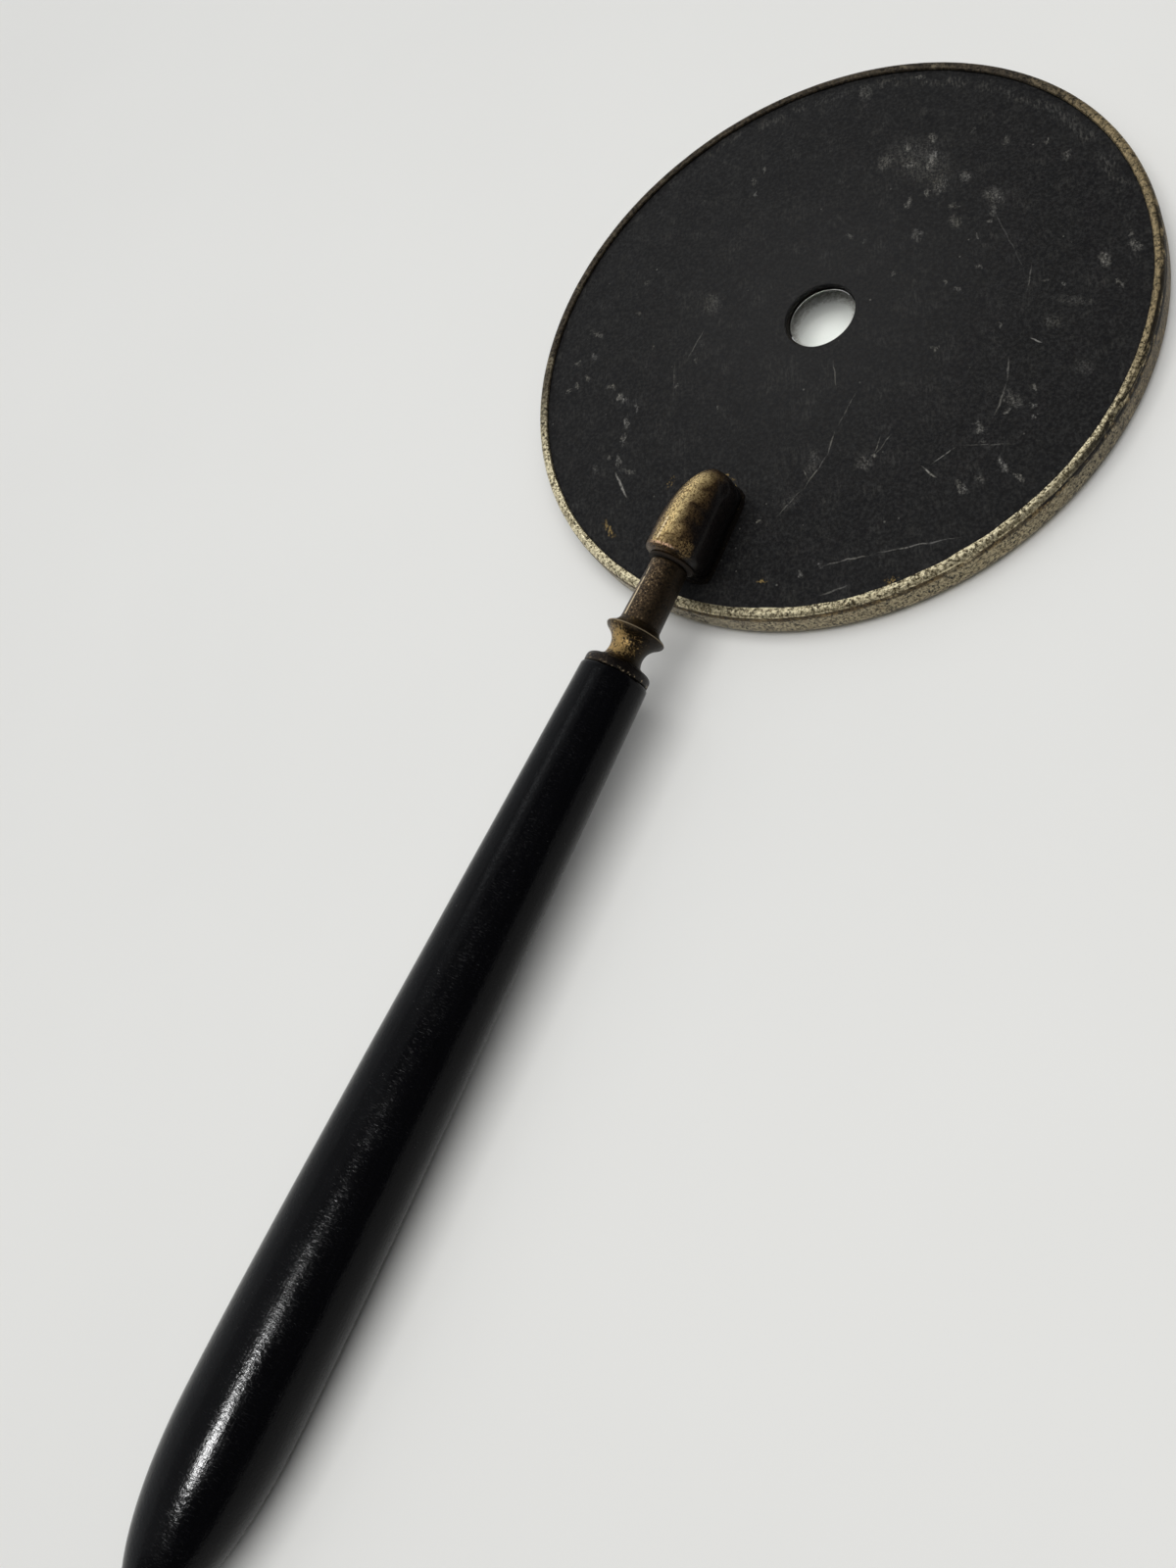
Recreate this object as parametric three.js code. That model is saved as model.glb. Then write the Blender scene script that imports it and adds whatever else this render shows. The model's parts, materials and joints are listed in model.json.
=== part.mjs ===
// Hand-held concave reflecting mirror with a central sight hole, for examining the ear and throat.
// A round silvered glass sits in a spun metal bezel behind a domed, blackened back plate. A bullet-shaped
// socket near the edge of the plate takes the screw end of a stem, which carries a turned wooden handle.
//
// Millimetres, +Z up. The mirror lies face down: the bezel's front face rests on Z = 0 and so does the
// belly of the handle. The handle runs towards -Y. The origin is at the bottom centre of the whole object.
//
// Along the handle, places are stations: the distance from the disc's centre, measured on the handle's axis.

import * as THREE from 'three';

// ---------------------------------------------------------------- driving dimensions

// Disc: bezel, plate, card, silver and glass, as radii and heights about the disc's own axis.
const DISC_RADIUS = 45;
const DOME_RADIUS = 322;          // curvature of the plate and of every layer under it
const PLATE_CROWN = 7.83;         // height of the plate's outer surface at the centre
const PLATE_THICKNESS = 0.7;
const CARD_THICKNESS = 0.6;
const SILVER_THICKNESS = 0.12;
const GLASS_THICKNESS = 2.5;
const LAYER_GAP = 0.06;
const LAYER_RADIUS = 44.2;
const GLASS_RADIUS = 44.1;
const GLASS_BEVEL = 0.3;
const PLATE_HOLE = 5.07;
const CARD_HOLE = 4.95;
const SILVER_WINDOW = 4.75;
const BEZEL_OPENING = 42.2;       // clear radius of mirror at the front
const LIP_OPENING = 43.57;        // inner edge of the lip spun over the plate

// Handle axis.
const DROOP = THREE.MathUtils.degToRad(1.7);
const AXIS_HEIGHT = 12.49;        // height of the handle's axis where it crosses the disc's axis

// Stations along the handle's axis.
const SOCKET_TIP = 27.55;
const SOCKET_MOUTH = 41.5;
const STEM_SHOULDER = 42;
const COLLAR_TOP = 51;
const COLLAR_END = 56.7;
const FERRULE_TOP = 56.8;
const FERRULE_END = 58.4;
const HANDLE_TOP = 58.5;
const HANDLE_BELLY = 162;
const HANDLE_END = 188.8;

// Radii along the handle.
const SOCKET_RADIUS = 4.2;
const WASHER_RADIUS = 3.2;
const STEM_TOP_RADIUS = 2.62;
const STEM_RADIUS = 2.83;
const FLANGE_RADIUS = 4.12;
const NECK_RADIUS = 2.4;
const FERRULE_RADIUS = 4.55;
const HANDLE_TOP_RADIUS = 4.8;
const BELLY_RADIUS = 7.68;

// Screw joint between the stem and the socket: a rounded right-hand thread.
const PITCH = 1;
const SPIGOT_ROOT = 1.25;
const THREAD_DEPTH = 0.35;
const THREAD_CLEARANCE = 0.12;
const SPIGOT_TIP = 34.9;
const SPIGOT_RUNOUT = 41.2;
const BORE_BOTTOM = 34.3;
const ROWS_PER_PITCH = 5;

// Hidden joints inside the handle.
const TENON_RADIUS = 1.6;
const TENON_END = 54.7;
const TANG_RADIUS = 1.2;
const TANG_TOP = 55.1;
const TANG_END = 100;
const BORE_GAP = 0.15;

// Sides of the turned pieces.
const DISC_SIDES = 60;
const TURNED_SIDES = 24;
const SOCKET_SIDES = 20;

const FULL_TURN = 2 * Math.PI;
const BEZEL_HEIGHT = 5.5;
const BEZEL_WALL = 0.65;
const OVERALL_LENGTH = DISC_RADIUS + HANDLE_END * Math.cos(DROOP);
const DISC_Y = OVERALL_LENGTH / 2 - DISC_RADIUS;

// ---------------------------------------------------------------- helpers

const smooth = THREE.MathUtils.smoothstep;
const mix = THREE.MathUtils.lerp;

// Height of a domed surface at a distance from the disc's axis.
function domeHeight(crown, radius) {
  return crown - radius ** 2 / (2 * DOME_RADIUS);
}

// Points on a circular arc in a profile's plane, from one angle to another, in degrees.
function arc(centreX, centreY, radius, fromDegrees, toDegrees, steps) {
  const points = [];
  for (let i = 0; i <= steps; i += 1) {
    const angle = THREE.MathUtils.degToRad(mix(fromDegrees, toDegrees, i / steps));
    points.push([centreX + radius * Math.cos(angle), centreY + radius * Math.sin(angle)]);
  }
  return points;
}

// A piece turned about the disc's axis. Its profile is [radius, height], anticlockwise.
function discPiece(profile) {
  const points = profile.map(([radius, height]) => new THREE.Vector2(radius, height));
  return new THREE.LatheGeometry(points, DISC_SIDES).rotateX(Math.PI / 2);
}

// A piece turned about the handle's axis. Its profile is [station, radius] from the disc's end towards the
// butt and, where it is bored, back again. reshape(row, radius, station, angle) may change a radius.
function turnedPiece(profile, sides = TURNED_SIDES, reshape = null) {
  const points = profile.map(([station, radius]) => new THREE.Vector2(radius, -station)).reverse();
  const geometry = new THREE.LatheGeometry(points, sides);
  if (!reshape) return geometry;
  const position = geometry.getAttribute('position');
  for (let i = 0; i < position.count; i += 1) {
    const row = points.length - 1 - (i % points.length);
    const radius = points[i % points.length].x;
    if (radius === 0) continue;
    const angle = Math.atan2(position.getZ(i), position.getX(i));
    const scale = reshape(row, radius, -position.getY(i), angle) / radius;
    position.setX(i, position.getX(i) * scale);
    position.setZ(i, position.getZ(i) * scale);
  }
  return geometry;
}

// How far a screw thread stands up, from 0 at its root to 1 at its crest.
function threadHeight(station, angle) {
  return 0.5 + 0.5 * Math.cos((FULL_TURN * station) / PITCH - angle);
}

// Evenly spaced rows of one radius along the axis, close enough together to carry a thread.
function threadRows(from, to, radius) {
  const count = Math.ceil(Math.abs(to - from) / (PITCH / ROWS_PER_PITCH));
  return Array.from({ length: count + 1 }, (_, i) => [mix(from, to, i / count), radius]);
}

function makePiece(name, geometry, color, roughness, metalness) {
  const material = new THREE.MeshStandardMaterial({ color, roughness, metalness });
  const mesh = new THREE.Mesh(geometry, material);
  mesh.name = name;
  return mesh;
}

// ---------------------------------------------------------------- the disc

// A domed layer between two crowns, from an inner radius, which is 0 for a whole disc, to an outer one.
function domedLayer(topCrown, thickness, inner, outer, steps) {
  const radii = Array.from({ length: steps + 1 }, (_, i) => mix(inner, outer, i / steps));
  const bottom = radii.map((radius) => [radius, domeHeight(topCrown - thickness, radius)]);
  const top = radii.map((radius) => [radius, domeHeight(topCrown, radius)]).reverse();
  const profile = [...bottom, ...top];
  if (inner > 0) profile.push(bottom[0]);
  return profile;
}

const CARD_CROWN = PLATE_CROWN - PLATE_THICKNESS - LAYER_GAP;
const SILVER_CROWN = CARD_CROWN - CARD_THICKNESS - LAYER_GAP;
const GLASS_CROWN = SILVER_CROWN - SILVER_THICKNESS - LAYER_GAP;

function backPlate() {
  const profile = domedLayer(PLATE_CROWN, PLATE_THICKNESS, PLATE_HOLE, LAYER_RADIUS, 5);
  return makePiece('back_plate', discPiece(profile), 0x262626, 0.75, 0.1);
}

function packingCard() {
  const profile = domedLayer(CARD_CROWN, CARD_THICKNESS, CARD_HOLE, LAYER_RADIUS, 4);
  return makePiece('packing_card', discPiece(profile), 0x161412, 0.95, 0);
}

function silverCoating() {
  const profile = domedLayer(SILVER_CROWN, SILVER_THICKNESS, SILVER_WINDOW, GLASS_RADIUS, 4);
  return makePiece('silver_coating', discPiece(profile), 0xd8d8d4, 0.1, 1);
}

// The glass: both faces curved alike, so the front is concave, and both edges ground to a small bevel.
function mirrorGlass() {
  const frontCrown = GLASS_CROWN - GLASS_THICKNESS;
  const rim = GLASS_RADIUS - GLASS_BEVEL;
  const radii = [0, 0.3, 0.6, 0.85].map((share) => share * GLASS_RADIUS);
  const profile = [
    ...radii.map((radius) => [radius, domeHeight(frontCrown, radius)]),
    [rim, domeHeight(frontCrown, rim)],
    [GLASS_RADIUS, domeHeight(frontCrown, GLASS_RADIUS) + GLASS_BEVEL],
    [GLASS_RADIUS, domeHeight(GLASS_CROWN, GLASS_RADIUS) - GLASS_BEVEL],
    [rim, domeHeight(GLASS_CROWN, rim)],
    ...radii.map((radius) => [radius, domeHeight(GLASS_CROWN, radius)]).reverse(),
  ];
  return makePiece('mirror_glass', discPiece(profile), 0xe4ece8, 0.03, 0);
}

// The bezel: a spun channel with a flat front lip under the glass and a rolled bead over the plate.
function rimBezel() {
  const frontCorner = 1.2;
  const beadRadius = 0.72;
  const beadHeight = BEZEL_HEIGHT - beadRadius;
  const innerWall = DISC_RADIUS - BEZEL_WALL;
  const lipUnderside = domeHeight(PLATE_CROWN, LIP_OPENING) + 0.12;
  const profile = [
    [BEZEL_OPENING, 0],
    ...arc(DISC_RADIUS - frontCorner, frontCorner, frontCorner, -90, 0, 3),
    [DISC_RADIUS, beadHeight - 0.1],
    [DISC_RADIUS - 0.14, beadHeight + 0.06],
    ...arc(DISC_RADIUS - beadRadius - 0.04, beadHeight, beadRadius, 15, 115, 4),
    [LIP_OPENING, lipUnderside + 0.22],
    [LIP_OPENING, lipUnderside],
    [innerWall, lipUnderside - 0.06],
    [innerWall, 0.6],
    [BEZEL_OPENING, 0.8],
    [BEZEL_OPENING, 0],
  ];
  return makePiece('rim_bezel', discPiece(profile), 0xa89c78, 0.4, 0.9);
}

// ---------------------------------------------------------------- the socket on the plate

const SEAT_STATION = (SOCKET_TIP + SOCKET_MOUTH) / 2;
const SEAT_SLOPE = Math.atan(SEAT_STATION / DOME_RADIUS);
const SEAT_GAP = 0.55;            // plate to the socket's foot, for the solder
const SEAT_DEPTH = (AXIS_HEIGHT - SEAT_STATION * Math.sin(DROOP)
  - domeHeight(PLATE_CROWN, SEAT_STATION) - SEAT_GAP) * Math.cos(DROOP);
const FOOT_ANGLE = THREE.MathUtils.degToRad(156);

// Distance from the socket's axis down to the plane that its foot stands on.
function footDepth(station) {
  return SEAT_DEPTH + (station - SEAT_STATION) * Math.tan(SEAT_SLOPE - DROOP);
}

// A rounded nose: 0 at the tip, 1 from one nose length on.
function nose(station, length, power) {
  const share = THREE.MathUtils.clamp((station - SOCKET_TIP) / length, 0, 1);
  return (1 - (1 - share) ** power) ** (1 / power);
}

// Outer radius of the socket: a long bullet above, a blunter and wider one below, and a narrow foot.
function socketRadius(station, angle) {
  const fromTop = Math.abs(Math.atan2(Math.cos(angle), Math.sin(angle)));
  const mouthRounding = 1 - 0.12 * smooth(station, SOCKET_MOUTH - 0.7, SOCKET_MOUTH);
  const upper = SOCKET_RADIUS * nose(station, 10, 1.9) * mouthRounding;
  const spread = 1 + 0.018 * (station - SOCKET_TIP - 3.2);
  const lower = SOCKET_RADIUS * spread * nose(station, 3.2, 2) * mouthRounding;
  const body = mix(upper, lower, smooth(fromTop, Math.PI / 3, FOOT_ANGLE - 0.5));
  const toFoot = footDepth(station) / Math.abs(Math.cos(Math.max(fromTop, FOOT_ANGLE)));
  return mix(body, toFoot * nose(station, 1.2, 2), smooth(fromTop, FOOT_ANGLE - 0.5, FOOT_ANGLE));
}

function socketBoss() {
  const bodyStations = [0.1, 0.35, 0.85, 1.6, 2.8, 4.4, 6.6, 9.6, 12.9, 13.5].map((s) => SOCKET_TIP + s);
  const boreRadius = SPIGOT_ROOT + THREAD_CLEARANCE;
  const outside = [
    [SOCKET_TIP, 0],
    ...bodyStations.map((station) => [station, SOCKET_RADIUS]),
    [SOCKET_MOUTH, SOCKET_RADIUS],
  ];
  const profile = [
    ...outside,
    ...threadRows(SOCKET_MOUTH, BORE_BOTTOM, boreRadius),
    [BORE_BOTTOM - boreRadius / 2, 0],
  ];
  const reshape = (row, radius, station, angle) => {
    if (row < outside.length) return socketRadius(station, angle);
    return boreRadius + THREAD_DEPTH * threadHeight(station, angle);
  };
  return makePiece('socket_boss', turnedPiece(profile, SOCKET_SIDES, reshape), 0x6b5533, 0.5, 0.8);
}

// Solder under the socket's foot: a thin pad, round under the nose, that shows as a narrow edge all round.
function solderJoint() {
  const halfWidth = 2.8;
  const halfLength = (SOCKET_MOUTH - SOCKET_TIP) / 2 + 0.5;
  const edge = 0.1;
  const outline = new THREE.Shape();
  outline.moveTo(-halfWidth, -halfLength);
  outline.lineTo(halfWidth, -halfLength);
  outline.lineTo(halfWidth, halfLength - halfWidth);
  outline.absarc(0, halfLength - halfWidth, halfWidth, 0, Math.PI, false);
  const geometry = new THREE.ExtrudeGeometry(outline, {
    depth: 0.15,
    bevelThickness: edge,
    bevelSize: edge,
    bevelSegments: 1,
    curveSegments: 10,
  });
  const joint = makePiece('solder_joint', geometry, 0x7a6a48, 0.5, 0.8);
  joint.position.set(0, -SEAT_STATION, domeHeight(PLATE_CROWN, SEAT_STATION) + 2 * edge);
  joint.rotation.x = SEAT_SLOPE;
  return joint;
}

// ---------------------------------------------------------------- the stem and the handle

function shoulderWasher() {
  const thickness = 0.38;
  const top = SOCKET_MOUTH + 0.06;
  const bore = SPIGOT_ROOT + THREAD_DEPTH + BORE_GAP;
  const profile = [
    [top, bore],
    [top, WASHER_RADIUS],
    [top + thickness, WASHER_RADIUS],
    [top + thickness, bore],
    [top, bore],
  ];
  return makePiece('shoulder_washer', turnedPiece(profile), 0x1a1512, 0.9, 0);
}

// The stem: a screwed spigot, a rounded shoulder, a slightly tapered shank and a plain tenon.
function stem() {
  const threaded = threadRows(SPIGOT_TIP, SPIGOT_RUNOUT, SPIGOT_ROOT);
  const profile = [
    [SPIGOT_TIP, 0],
    ...threaded,
    [STEM_SHOULDER, SPIGOT_ROOT],
    [STEM_SHOULDER, STEM_TOP_RADIUS - 0.4],
    [STEM_SHOULDER + 0.15, STEM_TOP_RADIUS - 0.12],
    [STEM_SHOULDER + 0.5, STEM_TOP_RADIUS],
    [COLLAR_TOP - 0.05, STEM_RADIUS],
    [COLLAR_TOP - 0.05, TENON_RADIUS],
    [TENON_END, TENON_RADIUS],
    [TENON_END, 0],
  ];
  const reshape = (row, radius, station, angle) => {
    if (row < 1 || row > threaded.length) return radius;
    const leadIn = smooth(station, SPIGOT_TIP, SPIGOT_TIP + 0.8 * PITCH);
    const runout = 1 - smooth(station, SPIGOT_RUNOUT - 0.6 * PITCH, SPIGOT_RUNOUT);
    return radius + THREAD_DEPTH * leadIn * runout * threadHeight(station, angle);
  };
  return makePiece('stem', turnedPiece(profile, SOCKET_SIDES, reshape), 0x3a2f24, 0.45, 0.85);
}

// The collar: a sharp flange above a hollow neck. It is bored for the stem's tenon and for the tang.
function collar() {
  const ridge = COLLAR_TOP + 1.2;
  const neck = COLLAR_TOP + 4.2;
  const tangBore = TANG_RADIUS + BORE_GAP;
  const tenonBore = TENON_RADIUS + BORE_GAP;
  const hollow = new THREE.SplineCurve([
    new THREE.Vector2(ridge + 0.65, FLANGE_RADIUS - 0.25),
    new THREE.Vector2(ridge + 1.25, 3.1),
    new THREE.Vector2(ridge + 2.05, NECK_RADIUS + 0.17),
    new THREE.Vector2(neck, NECK_RADIUS),
    new THREE.Vector2(COLLAR_END - 0.45, NECK_RADIUS + 0.22),
    new THREE.Vector2(COLLAR_END, NECK_RADIUS + 0.8),
  ]);
  const profile = [
    [COLLAR_TOP, tenonBore],
    [COLLAR_TOP, STEM_RADIUS + 0.02],
    [COLLAR_TOP + 0.55, STEM_RADIUS + 0.45],
    [ridge, FLANGE_RADIUS - 0.08],
    [ridge + 0.25, FLANGE_RADIUS],
    ...hollow.getPoints(10).map((point) => [point.x, point.y]),
    [COLLAR_END, tangBore],
    [TENON_END + 0.2, tangBore],
    [TENON_END + 0.2, tenonBore],
    [COLLAR_TOP, tenonBore],
  ];
  return makePiece('collar', turnedPiece(profile), 0x5a4526, 0.45, 0.85);
}

function ferrule() {
  const bore = TANG_RADIUS + BORE_GAP;
  const edge = 0.75;
  const profile = [
    [FERRULE_TOP, bore],
    [FERRULE_TOP, NECK_RADIUS + 0.9],
    ...arc(FERRULE_TOP + 0.15 + edge, FERRULE_RADIUS - edge, edge, 180, 90, 3),
    [FERRULE_END - 0.12, FERRULE_RADIUS],
    [FERRULE_END, FERRULE_RADIUS - 0.12],
    [FERRULE_END, bore],
    [FERRULE_TOP, bore],
  ];
  return makePiece('ferrule', turnedPiece(profile), 0x2c221b, 0.5, 0.8);
}

// The tang: a steel rod that holds the collar and the ferrule to the handle.
function tang() {
  const point = 1.5;
  const profile = [
    [TANG_TOP, 0],
    [TANG_TOP, TANG_RADIUS],
    [TANG_END - point, TANG_RADIUS],
    [TANG_END, TANG_RADIUS / 2],
    [TANG_END, 0],
  ];
  return makePiece('tang', turnedPiece(profile, 16), 0x77777a, 0.4, 1);
}

// The handle: a full taper from the ferrule to the belly, an elliptical butt and a bore for the tang.
function handle() {
  const bore = TANG_RADIUS + BORE_GAP;
  const shoulder = 0.7;
  const taper = new THREE.CubicBezierCurve(
    new THREE.Vector2(HANDLE_TOP + shoulder, HANDLE_TOP_RADIUS),
    new THREE.Vector2(95, 5.85),
    new THREE.Vector2(140, BELLY_RADIUS),
    new THREE.Vector2(HANDLE_BELLY, BELLY_RADIUS),
  );
  const butt = [];
  const buttSteps = 7;
  for (let i = 1; i <= buttSteps; i += 1) {
    const angle = (Math.PI / 2) * (i / buttSteps);
    const station = HANDLE_BELLY + (HANDLE_END - HANDLE_BELLY) * Math.sin(angle);
    butt.push([station, i < buttSteps ? BELLY_RADIUS * Math.cos(angle) : 0]);
  }
  const profile = [
    [TANG_END + 0.4, 0],
    [TANG_END + 0.2, bore],
    [HANDLE_TOP, bore],
    [HANDLE_TOP, HANDLE_TOP_RADIUS - 0.45],
    [HANDLE_TOP + 0.2, HANDLE_TOP_RADIUS - 0.15],
    ...taper.getPoints(12).map((point) => [point.x, point.y]),
    ...butt,
  ];
  return makePiece('handle', turnedPiece(profile), 0x121214, 0.3, 0);
}

// ---------------------------------------------------------------- assembly

const disc = new THREE.Group();
disc.position.set(0, DISC_Y, 0);
disc.add(rimBezel(), mirrorGlass(), silverCoating(), packingCard(), backPlate(), solderJoint());

const axis = new THREE.Group();
axis.position.set(0, DISC_Y, AXIS_HEIGHT);
axis.rotation.x = DROOP;
axis.add(socketBoss(), shoulderWasher(), stem(), collar(), ferrule(), tang(), handle());

const group = new THREE.Group();
group.add(disc, axis);

export default group;
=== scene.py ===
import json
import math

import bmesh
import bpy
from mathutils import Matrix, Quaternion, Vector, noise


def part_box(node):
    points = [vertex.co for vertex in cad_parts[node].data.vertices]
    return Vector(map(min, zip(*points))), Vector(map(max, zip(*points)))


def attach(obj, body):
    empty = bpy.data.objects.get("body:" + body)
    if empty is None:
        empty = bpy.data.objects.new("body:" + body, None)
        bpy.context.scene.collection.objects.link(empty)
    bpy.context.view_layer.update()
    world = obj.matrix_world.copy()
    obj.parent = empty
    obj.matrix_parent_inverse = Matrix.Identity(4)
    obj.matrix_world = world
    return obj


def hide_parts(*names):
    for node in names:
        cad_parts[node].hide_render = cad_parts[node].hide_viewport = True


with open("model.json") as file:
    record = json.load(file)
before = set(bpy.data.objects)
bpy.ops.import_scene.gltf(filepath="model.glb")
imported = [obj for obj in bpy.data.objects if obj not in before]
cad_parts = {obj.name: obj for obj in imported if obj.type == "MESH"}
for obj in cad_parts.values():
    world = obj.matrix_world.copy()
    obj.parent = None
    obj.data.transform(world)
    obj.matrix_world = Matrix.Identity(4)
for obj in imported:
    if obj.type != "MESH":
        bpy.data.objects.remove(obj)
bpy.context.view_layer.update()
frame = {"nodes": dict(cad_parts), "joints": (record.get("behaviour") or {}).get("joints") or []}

# Looks for a hand-held concave reflecting mirror with a sight hole. It lies face down on a white table.
#
# Every visible piece is made again here, finer than its CAD node, in millimetres, in one of two local
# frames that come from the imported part. Disc pieces use x and y on the disc and z up from the table.
# Handle pieces are turned about their own z axis: z is the station, which is the distance from the
# disc's centre along the handle, y points up and x to the right.

SCENE = bpy.context.scene
MM = 0.001
FULL_TURN = 2 * math.pi
LAMP_DISTANCE = 1.2
FLAT = 1e6

# -------- places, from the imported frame

bezel_low, bezel_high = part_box("rim_bezel")
DISC_CENTRE = Vector(((bezel_low.x + bezel_high.x) / 2, (bezel_low.y + bezel_high.y) / 2, 0))
DISC_PLACE = Matrix.Translation(DISC_CENTRE)


def axis_frame():
    """The handle's local frame: its origin where the handle's axis crosses the disc's own axis."""
    screw = next(joint for joint in frame["joints"] if joint["name"] == "screw_turn")
    along = Vector(screw["axis"]).normalized()
    point = Vector(screw["pos_m"])
    origin = point + along * ((DISC_CENTRE.y - point.y) / along.y)
    right = Vector((1, 0, 0))
    up = along.cross(right)
    rotation = Matrix((right, up, along)).transposed().to_4x4()
    return Matrix.Translation(origin) @ rotation


AXIS_PLACE = axis_frame()
AXIS_HEIGHT = AXIS_PLACE.translation.z / MM
DROOP = math.asin(-AXIS_PLACE.col[2].z)

# -------- sizes, in millimetres

DISC_RADIUS = (bezel_high.x - bezel_low.x) / 2 / MM
DOME_RADIUS = 322
PLATE_CROWN = 7.83
PLATE_THICKNESS = 0.7
CARD_THICKNESS = 0.6
SILVER_THICKNESS = 0.12
GLASS_THICKNESS = 2.5
LAYER_GAP = 0.06
LAYER_RADIUS = 44.2
GLASS_RADIUS = 44.1
GLASS_BEVEL = 0.3
PLATE_HOLE = 5.07
CARD_HOLE = 4.95
SILVER_WINDOW = 4.75
WINDOW_SHIFT = (-0.2, 0.4)
BEZEL_OPENING = 42.2
LIP_OPENING = 43.57
BEZEL_HEIGHT = 5.5
BEZEL_WALL = 0.65

SOCKET_TIP = 27.55
SOCKET_MOUTH = 41.5
STEM_SHOULDER = 42
COLLAR_TOP = 51
COLLAR_END = 56.7
FERRULE_TOP = 56.8
FERRULE_END = 58.4
HANDLE_TOP = 58.5
HANDLE_BELLY = 162
HANDLE_END = 188.8

SOCKET_RADIUS = 4.2
WASHER_RADIUS = 3.2
STEM_TOP_RADIUS = 2.62
STEM_RADIUS = 2.83
FLANGE_RADIUS = 4.12
NECK_RADIUS = 2.4
FERRULE_RADIUS = 4.55
HANDLE_TOP_RADIUS = 4.8
BELLY_RADIUS = 7.68

PITCH = 1
SPIGOT_ROOT = 1.25
THREAD_DEPTH = 0.35
THREAD_CLEARANCE = 0.12
SPIGOT_TIP = 34.9
SPIGOT_RUNOUT = 41.2
BORE_BOTTOM = 34.3
TENON_RADIUS = 1.6
TENON_END = 54.7
TANG_RADIUS = 1.2
TANG_END = 100
BORE_GAP = 0.15
TANG_BORE = TANG_RADIUS + BORE_GAP

CARD_CROWN = PLATE_CROWN - PLATE_THICKNESS - LAYER_GAP
SILVER_CROWN = CARD_CROWN - CARD_THICKNESS - LAYER_GAP
GLASS_CROWN = SILVER_CROWN - SILVER_THICKNESS - LAYER_GAP

# -------- mesh helpers


def mix(a, b, share):
    return a + (b - a) * share


def smooth(value, low, high):
    share = min(max((value - low) / (high - low), 0), 1)
    return share * share * (3 - 2 * share)


def dome_height(crown, radius):
    return crown - radius ** 2 / (2 * DOME_RADIUS)


def wander(angle, detail, seed):
    """A smooth random value from about -1 to 1 that runs once round a circle without a seam."""
    return noise.noise(Vector((detail * math.cos(angle), detail * math.sin(angle), seed)))


def arc(centre_x, centre_y, radius, start, end, steps):
    """Points on a circular arc of a profile, from one angle to another, in degrees."""
    angles = [math.radians(mix(start, end, i / steps)) for i in range(steps + 1)]
    return [(centre_x + radius * math.cos(a), centre_y + radius * math.sin(a)) for a in angles]


def line(start, end, steps):
    """Evenly spaced points from start towards end, without the last one."""
    return [(mix(start[0], end[0], i / steps), mix(start[1], end[1], i / steps)) for i in range(steps)]


def spline(points, steps):
    """A smooth curve through the points, with that many steps between each two."""
    ends = [tuple(2 * a - b for a, b in zip(points[0], points[1]))]
    ends.append(tuple(2 * a - b for a, b in zip(points[-1], points[-2])))
    around = [ends[0], *points, ends[1]]
    curve = []
    for before, start, end, after in zip(around, around[1:], around[2:], around[3:]):
        for i in range(steps):
            t = i / steps
            curve.append(tuple(
                0.5 * (2 * p1 + (p2 - p0) * t + (2 * p0 - 5 * p1 + 4 * p2 - p3) * t ** 2
                       + (3 * p1 - p0 - 3 * p2 + p3) * t ** 3)
                for p0, p1, p2, p3 in zip(before, start, end, after)
            ))
    return [*curve, points[-1]]


def build(name, points, faces, place, crease=35):
    """A smooth-shaded mesh from points in millimetres, with edges sharper than crease kept sharp."""
    mesh = bpy.data.meshes.new(name)
    mesh.from_pydata([place @ (Vector(point) * MM) for point in points], [], faces)
    shell = bmesh.new()
    shell.from_mesh(mesh)
    bmesh.ops.recalc_face_normals(shell, faces=shell.faces)
    shell.to_mesh(mesh)
    shell.free()
    mesh.shade_smooth()
    mesh.set_sharp_from_angle(angle=math.radians(crease))
    piece = bpy.data.objects.new(name, mesh)
    SCENE.collection.objects.link(piece)
    return piece


def bridge(rows):
    """Faces between rings of point numbers that follow each other. A ring may be one point repeated."""
    faces = []
    for first, second in zip(rows, rows[1:]):
        for i in range(len(first)):
            corners = (first[i - 1], first[i], second[i], second[i - 1])
            faces.append(list(dict.fromkeys(corners)))
    return faces


def revolve(name, profile, segments, place, deform=None, ring=False, crease=35):
    """A piece turned about its own z axis from a profile of (radius, height).

    A solid profile starts and ends on the axis. A ring's profile closes on itself. deform(row, radius,
    height, angle) may return another radius and height for each point.
    """
    points = []
    rows = []
    for row, (radius, height) in enumerate(profile):
        if radius == 0:
            rows.append([len(points)] * segments)
            points.append((0, 0, height))
            continue
        rows.append(list(range(len(points), len(points) + segments)))
        for i in range(segments):
            angle = FULL_TURN * i / segments
            r, z = deform(row, radius, height, angle) if deform else (radius, height)
            points.append((r * math.cos(angle), r * math.sin(angle), z))
    if ring:
        rows.append(rows[0])
    return build(name, points, bridge(rows), place, crease)


# -------- material helpers


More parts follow.
